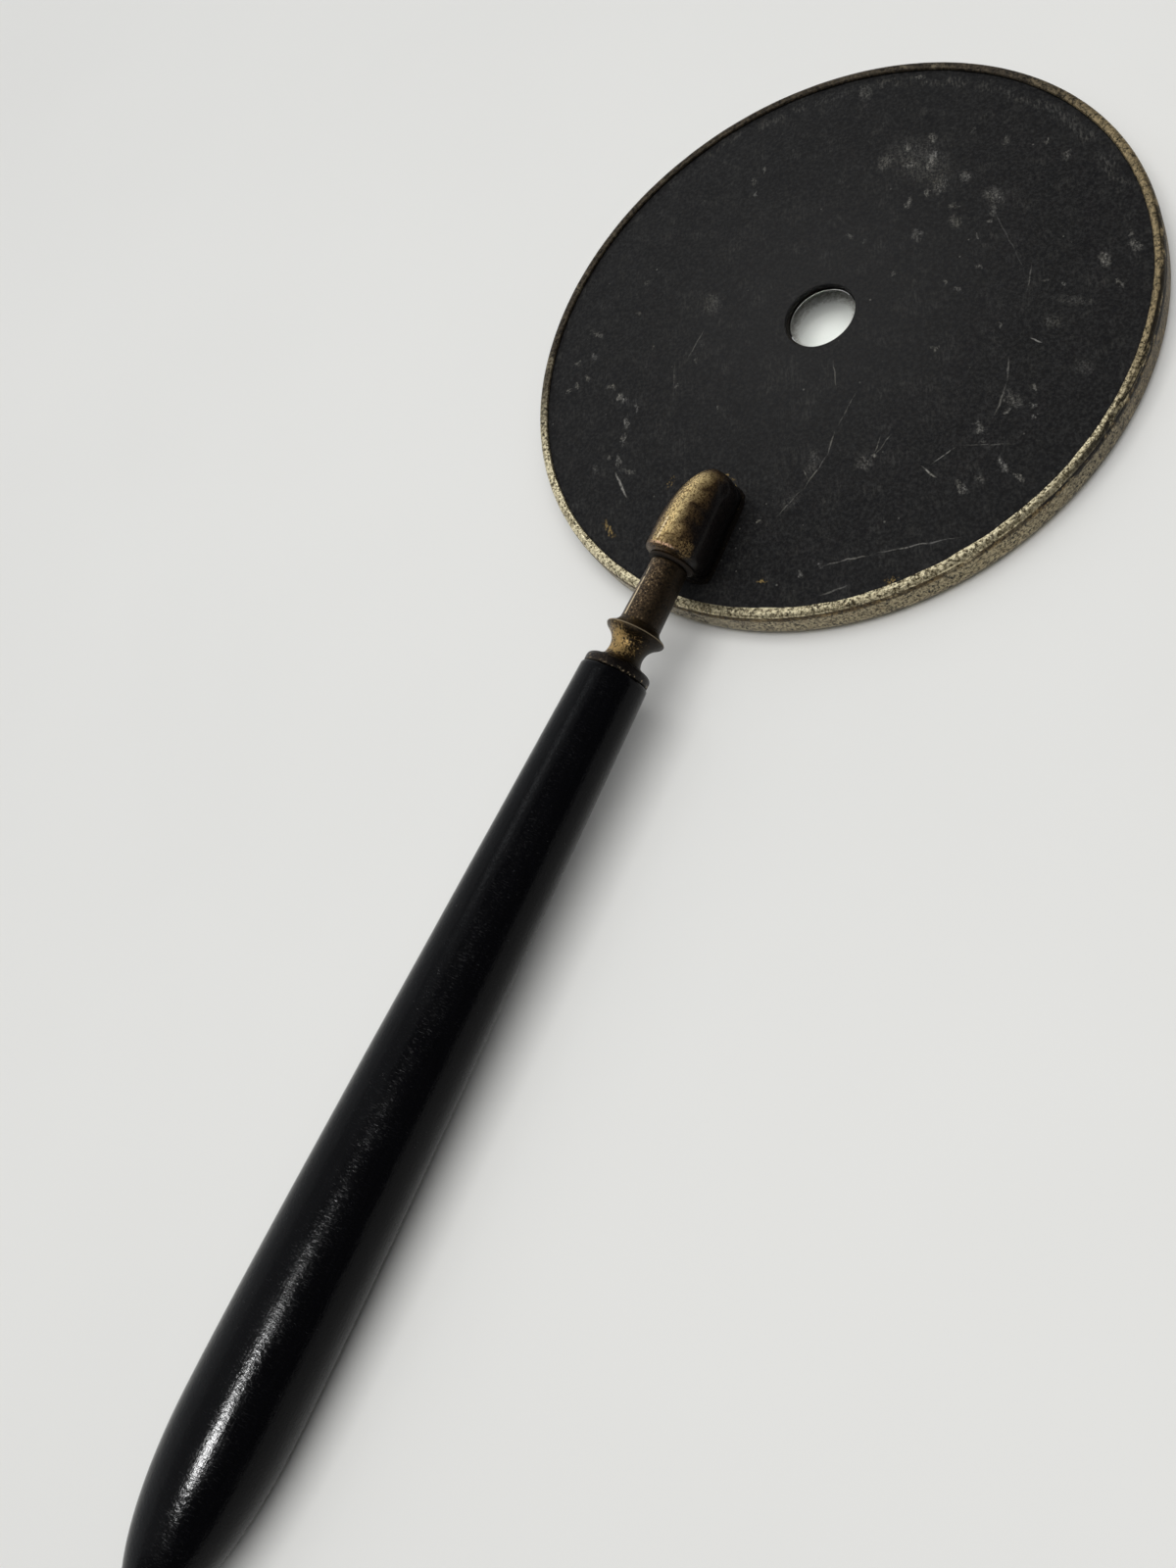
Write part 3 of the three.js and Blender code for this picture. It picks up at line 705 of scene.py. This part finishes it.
def socket_paint():
    """Black patina, worn through to mottled gold along the upper left. Painted shade darkens the right
    flank and the underside, and painted highlights brighten a strip on top, the mouth's top edge and a
    thin line.
    """
    paint = Paint("worn_socket_brass", AXIS_PLACE)
    fine = paint.noise(0.27, 4, 0.78, seed=21)
    mottle = paint.step(fine, 0.4, 0.6)
    cloud = paint.noise(2.4, seed=22)
    drawn = paint.noise(0.3, 3, stretch=(1, 1, 9), seed=23)
    above = paint.step(paint.y, -0.6, 2.0)
    ragged_x = paint.add(paint.x, paint.times(cloud, 4.5), paint.times(fine, 2.2))
    right_edge = paint.step(ragged_x, 5.6, 2.6)
    left_edge = paint.step(paint.add(paint.x, paint.times(cloud, 2.2), fine), -0.9, 0.9)
    clouded_z = paint.add(paint.z, paint.times(cloud, 2))
    nose_end = paint.step(clouded_z, SOCKET_TIP + 1.6, SOCKET_TIP + 3.6)
    ragged_z = paint.add(paint.z, paint.times(fine, 0.8))
    mouth_end = paint.step(ragged_z, SOCKET_MOUTH - 0.1, SOCKET_MOUTH - 0.5)
    worn = paint.times(above, right_edge, left_edge, nose_end, mouth_end)
    # A rubbed strip along the top, which also carries a painted sheen away from the mouth.
    polish_and_sheen = paint.band(paint.add(paint.x, paint.times(cloud, 1.2)), 1.3, 0.9, 1.7)
    rubbed = paint.add(fine, paint.times(cloud, 0.3), paint.times(polish_and_sheen, 0.24))
    painted_sheen = paint.times(polish_and_sheen, paint.step(paint.z, SOCKET_MOUTH - 2, SOCKET_MOUTH - 5))
    flecked = paint.times(worn, paint.step(rubbed, 0.48, 0.66))
    grooves = paint.times(worn, paint.step(drawn, 0.56, 0.68), 0.8)
    # Painted highlight: a ragged pinkish line on the top of the mouth's edge.
    lip_ring = paint.band(paint.z, SOCKET_MOUTH - 0.75, 0.1, 0.22)
    lip_part = paint.times(paint.step(paint.y, 0.2, 1.8), paint.band(paint.x, -0.2, 2.2, 1.2))
    lip = paint.times(lip_ring, lip_part, paint.step(fine, 0.44, 0.56), 0.8)
    off_patch = paint.vector("SUBTRACT", paint.ragged(0.7, 0.5, seed=24), (2.9, 2.6, 40.2))
    patch_reach = paint.vector("LENGTH", paint.vector("MULTIPLY", off_patch, (0.9, 0.3, 0.7)))
    patch = paint.times(paint.step(patch_reach, 1.0, 0.5), paint.step(fine, 0.42, 0.58), 0.5)
    # Painted highlight: a thin pale line along the top, left of the middle.
    highlight_line = paint.times(paint.band(paint.x, -1.0, 0.2, 0.12), paint.band(paint.z, 38.6, 2.8, 0.4))
    painted_highlight = paint.times(highlight_line, above, paint.step(fine, 0.38, 0.5))
    black = paint.mix(mottle, (0.004, 0.0035, 0.004), (0.014, 0.011, 0.01))
    brown = paint.mix(mottle, (0.014, 0.008, 0.004), (0.12, 0.072, 0.03))
    gold = paint.mix(mottle, (0.13, 0.068, 0.02), (1.0, 0.74, 0.34))
    # Painted sheen: lighter gold along the strip on top.
    gold = paint.mix(paint.times(painted_sheen, paint.step(fine, 0.41, 0.54)), gold, (1.0, 0.77, 0.37))
    # Painted shade: the patina is black on the right flank and underneath, and brown only on top.
    shade = paint.mix(paint.times(above, paint.step(ragged_x, 6.8, 4.6)), black, brown)
    colour = paint.mix(grooves, paint.mix(flecked, shade, gold), (0.03, 0.02, 0.011))
    colour = paint.mix(patch, colour, (0.42, 0.28, 0.12))
    colour = paint.mix(lip, colour, (0.8, 0.5, 0.32))
    colour = paint.mix(painted_highlight, colour, (0.95, 0.76, 0.46))
    bare = paint.most(flecked, lip, painted_highlight, patch)
    paint.set(Base_Color=colour, Metallic=paint.step(bare, 0, 1, 0.5, 0.54),
              Roughness=paint.step(bare, 0, 1, 0.34, 0.36), Specular_IOR_Level=0.15,
              Coat_Weight=0.12, Coat_Roughness=0.1)
    paint.bump((fine, 0.05), (cloud, 0.06), (grooves, -0.04), (drawn, 0.03))
    return paint


def socket_boss():
    bore = SPIGOT_ROOT + THREAD_CLEARANCE
    rows = 56
    outside = [(0, SOCKET_TIP)]
    for i in range(1, rows + 1):
        outside.append((SOCKET_RADIUS, mix(SOCKET_TIP, SOCKET_MOUTH, (i / rows) ** 1.6)))
    face = [(bore + 1.6, SOCKET_MOUTH + 0.02), (bore + 0.75, SOCKET_MOUTH)]
    threaded = thread_rows(SOCKET_MOUTH - 0.02, BORE_BOTTOM, bore)
    profile = [*outside, *face, *threaded, (0, BORE_BOTTOM - bore / 2)]

    def reshape(row, radius, station, angle):
        if row < len(outside):
            return socket_radius(station, angle) * (1 + 0.006 * wander(angle, 2, station / 3)), station
        if row < len(outside) + len(face):
            return radius, station
        return bore + THREAD_DEPTH * thread_height(station, angle), station

    boss = revolve("socket_boss_bullet", profile, 96, AXIS_PLACE, reshape, crease=50)
    return dress(boss, "head", "socket_boss", socket_paint())


def solder_joint():
    """A small fillet of solder between the socket's foot and the plate, dark and uneven."""
    paint = Paint("old_solder", DISC_PLACE)
    mottle = paint.noise(0.4, seed=31)
    flecks = paint.times(paint.step(mottle, 0.6, 0.68), 0.15)
    dark = paint.mix(mottle, (0.006, 0.005, 0.005), (0.022, 0.017, 0.012))
    paint.set(Base_Color=paint.mix(flecks, dark, (0.3, 0.22, 0.11)), Metallic=0.6, Roughness=0.55)
    paint.bump((mottle, 0.05))
    layers = ((0.42, 0.06), (0.4, 0.11), (0.25, 0.22), (0.1, 0.4), (0.02, 0.6), (-0.5, 0.6))
    half_width = 2.35
    segments = 120
    front = -(SOCKET_TIP + half_width - 0.15)
    back = -(SOCKET_MOUTH - 1.5)
    points = []
    for spread, lift in layers:
        for i in range(segments):
            angle = FULL_TURN * i / segments
            reach = half_width + spread + max(spread, 0) * 0.45 * wander(angle, 4, 7)
            y_end, squeeze = (front, 1) if math.sin(angle) > 0 else (back, 0.5)
            x = reach * math.copysign(abs(math.cos(angle)) ** 0.8, math.cos(angle))
            y = y_end + squeeze * reach * math.sin(angle)
            points.append((x, y, dome_height(PLATE_CROWN, math.hypot(x, y)) + lift))
    rows = [list(range(i * segments, (i + 1) * segments)) for i in range(len(layers))]
    faces = [*bridge(rows), rows[0], rows[-1]]
    joint = build("solder_joint_fillet", points, faces, DISC_PLACE, crease=60)
    return dress(joint, "head", "solder_joint", paint)


# -------- the stem, the collar and the ferrule


def shoulder_washer():
    paint = Paint("washer_leather_dark", AXIS_PLACE)
    fibre = paint.noise(0.15, stretch=(1, 1, 0.4))
    paint.set(Base_Color=paint.mix(fibre, (0.006, 0.005, 0.004), (0.03, 0.02, 0.013)), Roughness=0.85)
    paint.bump((fibre, 0.04))
    top = SOCKET_MOUTH + 0.06
    bottom = top + 0.38
    edge = 0.09
    bore = SPIGOT_ROOT + THREAD_DEPTH + BORE_GAP
    profile = [(bore, bottom), (bore, top)]
    profile += arc(WASHER_RADIUS - edge, top + edge, edge, -90, 0, 4)
    profile += arc(WASHER_RADIUS - edge, bottom - edge, edge, 0, 90, 4)
    washer = revolve("shoulder_washer_ring", profile, 96, AXIS_PLACE, ring=True)
    return dress(washer, "washer", "shoulder_washer", paint)


def patina_paint(name, dark, light, gleam, seed, wear=None, brighten=None):
    """Turned brass under a speckled patina, darker towards the right as painted shade.

    More of it is bare where wear(paint) is 1, and it is bright where brighten(paint) is 1.
    """
    paint = Paint(name, AXIS_PLACE)
    fine = paint.noise(0.3, 4, 0.78, seed=seed)
    cloud = paint.noise(1.9, seed=seed + 1)
    turned = paint.noise(0.12, 2, 0.5, stretch=(50, 50, 1), seed=seed + 2)
    clouded = paint.add(fine, paint.times(cloud, 0.3))
    mottle = paint.step(clouded, 0.48, 0.8)
    worn = wear(paint) if wear else 0.0
    # Painted shade: the right side keeps more dark patina and shows fewer bare flecks.
    shaded_right = paint.step(paint.x, 0.2, 2.4)
    level = paint.add(clouded, paint.times(worn, 0.15), paint.times(shaded_right, -0.12))
    bare = paint.step(level, 0.73, 0.83)
    bright = brighten(paint) if brighten else 0.0
    specks = paint.times(paint.specks(0.6, 0.4, 0.34, seed=seed + 3), 0.9)
    toned = paint.mix(paint.times(shaded_right, 0.8), paint.mix(mottle, dark, light), dark)
    colour = paint.mix(bare, toned, gleam)
    colour = paint.mix(specks, colour, (0.01, 0.007, 0.005))
    colour = paint.mix(bright, colour, (0.85, 0.68, 0.44))
    paint.set(Base_Color=colour, Metallic=paint.step(bare, 0, 1, 0.6, 0.88),
              Roughness=paint.step(cloud, 0.3, 0.7, 0.32, 0.44), Specular_IOR_Level=0.3)
    paint.bump((fine, 0.05), (turned, 0.012), (cloud, 0.03), (specks, -0.03))
    return paint


def stem():
    def long_scratch(paint):
        rubbed = paint.times(paint.band(paint.x, -1.2, 0.14, 0.14), paint.step(paint.y, 0.5, 1.5))
        broken = paint.step(paint.noise(1.3, 3, 0.5, seed=45), 0.38, 0.5)
        return paint.times(rubbed, broken, paint.band(paint.z, 46.6, 8.4, 0.3), 0.85)

    dark, light, gleam = (0.006, 0.0045, 0.003), (0.12, 0.078, 0.042), (0.6, 0.43, 0.24)
    paint = patina_paint("stem_patina", dark, light, gleam, 41, brighten=long_scratch)
    threaded = thread_rows(SPIGOT_TIP, SPIGOT_RUNOUT, SPIGOT_ROOT)
    shoulder = arc(STEM_TOP_RADIUS - 0.45, STEM_SHOULDER + 0.45, 0.45, -90, 0, 8)
    shank_rows = line((STEM_TOP_RADIUS, STEM_SHOULDER + 0.5), (STEM_RADIUS, COLLAR_TOP - 0.05), 24)
    profile = [(0, SPIGOT_TIP), *threaded, (SPIGOT_ROOT, STEM_SHOULDER), *shoulder, *shank_rows]
    profile += [(STEM_RADIUS, COLLAR_TOP - 0.05), (TENON_RADIUS, COLLAR_TOP - 0.05)]
    profile += [(TENON_RADIUS, TENON_END), (0, TENON_END)]

    def screwed(row, radius, station, angle):
        if row < 1 or row > len(threaded):
            return radius, station
        lead_in = smooth(station, SPIGOT_TIP, SPIGOT_TIP + 0.8 * PITCH)
        runout = 1 - smooth(station, SPIGOT_RUNOUT - 0.6 * PITCH, SPIGOT_RUNOUT)
        return radius + THREAD_DEPTH * lead_in * runout * thread_height(station, angle), station

    piece = revolve("stem_shank", profile, 96, AXIS_PLACE, screwed)
    return dress(piece, "grip", "stem", paint)


def collar():
    """A sharp flange over a hollow neck, which spreads again to meet the ferrule."""
    ridge = COLLAR_TOP + 1.2

    def neck_wear(paint):
        neck_band = paint.band(paint.z, COLLAR_TOP + 3.6, 2.2, 1)
        return paint.times(neck_band, paint.step(paint.y, -0.5, 1.8))

    # Painted highlight: a bright line round the flange's crest.
    def ridge_highlight(paint):
        crest = paint.band(paint.z, ridge + 0.1, 0.06, 0.08)
        return paint.times(crest, paint.step(paint.radius, 3.8, 4.0), 0.35)

    dark, light, gleam = (0.007, 0.005, 0.003), (0.08, 0.049, 0.019), (0.5, 0.33, 0.13)
    paint = patina_paint("collar_patina", dark, light, gleam, 51, neck_wear, ridge_highlight)
    tenon_bore = TENON_RADIUS + BORE_GAP
    neck = COLLAR_TOP + 4.2
    profile = [(tenon_bore, COLLAR_TOP)]
    profile += spline([
        (STEM_RADIUS + 0.02, COLLAR_TOP),
        (STEM_RADIUS + 0.12, COLLAR_TOP + 0.3),
        (STEM_RADIUS + 0.5, COLLAR_TOP + 0.75),
        (FLANGE_RADIUS - 0.1, ridge - 0.02),
    ], 5)
    profile += [(FLANGE_RADIUS - 0.02, ridge + 0.08), (FLANGE_RADIUS, ridge + 0.2)]
    profile += spline([
        (FLANGE_RADIUS - 0.03, ridge + 0.32),
        (FLANGE_RADIUS - 0.28, ridge + 0.65),
        (3.1, ridge + 1.25),
        (NECK_RADIUS + 0.17, ridge + 2.05),
        (NECK_RADIUS, neck),
        (NECK_RADIUS + 0.22, COLLAR_END - 0.45),
        (NECK_RADIUS + 0.8, COLLAR_END),
    ], 6)
    profile += [(TANG_BORE, COLLAR_END), (TANG_BORE, TENON_END + 0.2), (tenon_bore, TENON_END + 0.2)]
    piece = revolve("collar_turned", profile, 128, AXIS_PLACE, ring=True)
    return dress(piece, "grip", "collar", paint)


def ferrule():
    def seam_flecks(paint):
        seam = paint.band(paint.z, FERRULE_END - 0.15, 0.2, 0.2)
        return paint.times(seam, paint.step(paint.noise(0.35, 3, 0.5, seed=65), 0.58, 0.66), 0.5)

    dark, light, gleam = (0.004, 0.0032, 0.003), (0.03, 0.02, 0.014), (0.36, 0.27, 0.17)
    paint = patina_paint("ferrule_patina", dark, light, gleam, 61, brighten=seam_flecks)
    edge = 0.75
    profile = [(TANG_BORE, FERRULE_TOP), (NECK_RADIUS + 0.9, FERRULE_TOP)]
    profile += arc(FERRULE_RADIUS - edge, FERRULE_TOP + 0.15 + edge, edge, -90, 0, 10)
    profile += arc(FERRULE_RADIUS - 0.12, FERRULE_END - 0.12, 0.12, 0, 90, 4)
    profile.append((TANG_BORE, FERRULE_END))
    piece = revolve("ferrule_cap", profile, 128, AXIS_PLACE, ring=True)
    return dress(piece, "grip", "ferrule", paint)


def tang():
    """The hidden rod keeps its CAD shape and gets a plain steel finish."""
    paint = Paint("tang_steel", AXIS_PLACE)
    drawn = paint.noise(0.2, 3, 0.5, stretch=(1, 1, 20))
    steel = paint.mix(drawn, (0.3, 0.3, 0.31), (0.45, 0.45, 0.46))
    paint.set(Base_Color=steel, Metallic=1.0, Roughness=0.4)
    node = frame["nodes"]["tang"]
    node.data.materials.clear()
    node.data.materials.append(paint.material)
    return node


# -------- the handle


def handle_paint():
    """Ebonised wood: near black, polished by use, with fine grain, small dents and cross scratches."""
    paint = Paint("ebonised_wood", AXIS_PLACE)
    grain = paint.noise(0.3, stretch=(1, 1, 20), seed=71)
    worn = paint.noise(7, seed=72)
    dents = paint.noise(0.5, 3, seed=73)
    crossed = paint.noise(0.25, 3, stretch=(2.4, 2.4, 0.6), seed=74)
    colour = paint.mix(grain, (0.0008, 0.0008, 0.0011), (0.003, 0.003, 0.0038))
    scrape = paint.times(paint.step(crossed, 0.66, 0.74), paint.step(worn, 0.45, 0.65))
    flecks = paint.specks(1.6, 0.12, 0.07, seed=75)
    colour = paint.mix(paint.times(paint.most(scrape, flecks), 0.35), colour, (0.1, 0.1, 0.105))
    broken = paint.step(crossed, 0.44, 0.36, 0.0, 0.15)
    rough = paint.add(paint.step(worn, 0.3, 0.7, 0.1, 0.16), paint.times(dents, 0.06), broken)
    paint.set(Base_Color=colour, Roughness=rough, Specular_IOR_Level=0.11)
    paint.bump((grain, 0.015), (dents, 0.03), (crossed, 0.012), (scrape, -0.03), (worn, 0.08))
    return paint


def handle():
    shoulder = 0.7
    start = (HANDLE_TOP_RADIUS, HANDLE_TOP + shoulder)
    pull = (5.85, 95)
    push = (BELLY_RADIUS, 140)
    belly = (BELLY_RADIUS, HANDLE_BELLY)
    taper = []
    steps = 60
    for i in range(steps):
        t = i / steps
        weights = ((1 - t) ** 3, 3 * t * (1 - t) ** 2, 3 * t * t * (1 - t), t ** 3)
        corners = list(zip(weights, (start, pull, push, belly)))
        taper.append(tuple(sum(weight * corner[k] for weight, corner in corners) for k in (0, 1)))
    butt = []
    butt_steps = 36
    for i in range(butt_steps):
        angle = math.pi / 2 * i / butt_steps
        butt.append((BELLY_RADIUS * math.cos(angle), mix(HANDLE_BELLY, HANDLE_END, math.sin(angle))))
    profile = [
        (0, TANG_END + 0.4), (TANG_BORE, TANG_END + 0.2), (TANG_BORE, HANDLE_TOP),
        (HANDLE_TOP_RADIUS - 0.45, HANDLE_TOP), (HANDLE_TOP_RADIUS - 0.2, HANDLE_TOP + 0.08),
        (HANDLE_TOP_RADIUS - 0.06, HANDLE_TOP + 0.3), *taper, *butt, (0, HANDLE_END),
    ]

    def turned(row, radius, station, angle):
        if station < HANDLE_TOP + shoulder or row < 3:
            return radius, station
        return radius + 0.035 * wander(angle, 1.5, station / 16) - 0.03, station

    piece = revolve("handle_turned", profile, 128, AXIS_PLACE, turned)
    return dress(piece, "grip", "handle", handle_paint())


# -------- table, light and camera


def table():
    """A white table just under the lip, so that the two never share a plane."""
    paint = Paint("white_table", Matrix())
    cloud = paint.noise(90, 3, 0.5)
    paint.set(Base_Color=paint.mix(cloud, (0.78, 0.78, 0.765), (0.83, 0.83, 0.815)), Roughness=0.45,
              Specular_IOR_Level=0.35)
    side = 3000
    depth = -0.02
    points = [(-side, -side, depth), (side, -side, depth), (side, side, depth), (-side, side, depth)]
    floor = build("table_top", points, [[0, 1, 2, 3]], Matrix())
    floor.data.materials.append(paint.material)


def area_light(name, azimuth, elevation, width, height, radiance, colour):
    """A rectangular lamp that looks at the object from a distance of LAMP_DISTANCE.

    azimuth is counted from +X towards +Y. width is across and height is along the line of sight's
    vertical plane, both as the angle in degrees that the lamp fills, and radiance is its brightness.
    """
    a, e = math.radians(azimuth), math.radians(elevation)
    away = Vector((math.cos(a) * math.cos(e), math.sin(a) * math.cos(e), math.sin(e)))
    light = bpy.data.lights.new(name, "AREA")
    light.shape = "RECTANGLE"
    light.size = 2 * LAMP_DISTANCE * math.tan(math.radians(width / 2))
    light.size_y = 2 * LAMP_DISTANCE * math.tan(math.radians(height / 2))
    light.energy = radiance * math.pi * light.size * light.size_y
    light.color = colour
    lamp = bpy.data.objects.new(name, light)
    lamp.visible_camera = False
    SCENE.collection.objects.link(lamp)
    lamp.location = away * LAMP_DISTANCE
    lamp.rotation_euler = (-away).to_track_quat("-Z", "Y").to_euler()
    return lamp


def lights():
    """A broad soft ceiling and fill, pale walls, glints and a small window at the left.

    The ceiling and the fill are not seen in reflections, and the walls are seen in nothing else. Each
    glint is seen only in reflections, and only by the pieces that its row names.
    """
    world = bpy.data.worlds.new("studio")
    world.use_nodes = True
    background = world.node_tree.nodes["Background"]
    background.inputs["Color"].default_value = (0.97, 0.985, 1, 1)
    background.inputs["Strength"].default_value = 0.03
    SCENE.world = world
    white = (1, 1, 1)
    warm_white = (1, 0.998, 0.988)
    pale_blue = (0.95, 0.975, 1)
    fittings = ("socket_boss_bullet", "stem_shank", "collar_turned", "ferrule_cap")
    bezel = ("rim_bezel_spun",)
    lamps = (
        # name, azimuth, elevation, width, height, radiance, colour, glossy, diffuse, pieces
        ("soft_ceiling", 0, 82.5, 42, 54, 3.45, warm_white, False, True, ()),
        ("soft_fill", 120, 66, 110, 110, 0.34, warm_white, False, True, ()),
        ("low_wall", 180, 20, 110, 40, 0.66, pale_blue, True, False, ()),
        ("high_wall", 180, 60, 100, 46, 0.48, pale_blue, True, False, ()),
        ("fittings_glint", -75, 59, 6, 14, 29, white, True, False, fittings),
        ("bezel_glint", -75, 59, 6, 14, 10, white, True, False, bezel),
        ("bead_glint", 135, 54, 30, 10, 1.9, white, True, False, bezel),
        ("handle_glint", -72, 62, 5, 7, 460, white, True, False, ("handle_turned",)),
        ("left_window", 164, 60, 6, 12, 3, pale_blue, True, True, ()),
    )
    for name, *placing, glossy, diffuse, pieces in lamps:
        lamp = area_light(name, *placing)
        lamp.visible_glossy = glossy
        lamp.visible_diffuse = diffuse
        if pieces:
            receivers = bpy.data.collections.new(name + "_pieces")
            for piece in pieces:
                receivers.objects.link(bpy.data.objects[piece])
            lamp.light_linking.receiver_collection = receivers


def camera():
    """The camera is above and to the right of the handle, rolled so that the handle runs from the disc
    at the upper right of the picture to its lower left."""
    place = DISC_CENTRE + Vector((124.56, -104.31, 183.25)) * MM
    aim = DISC_CENTRE + Vector((-3.26, -71.17, 0)) * MM
    roll = math.radians(-50.42)
    lens = bpy.data.cameras.new("camera")
    lens.lens = 38.25
    lens.sensor_width = 36
    lens.clip_start = 0.01
    eye = bpy.data.objects.new("camera", lens)
    SCENE.collection.objects.link(eye)
    eye.location = place
    eye.rotation_mode = "QUATERNION"
    eye.rotation_quaternion = (aim - place).to_track_quat("-Z", "Y") @ Quaternion((0, 0, 1), roll)
    SCENE.camera = eye


camera()
rim_bezel()
back_plate()
packing_card()
silver_coating()
mirror_glass()
socket_boss()
solder_joint()
shoulder_washer()
stem()
collar()
ferrule()
tang()
handle()
table()
lights()
SCENE.view_settings.view_transform = "Standard"
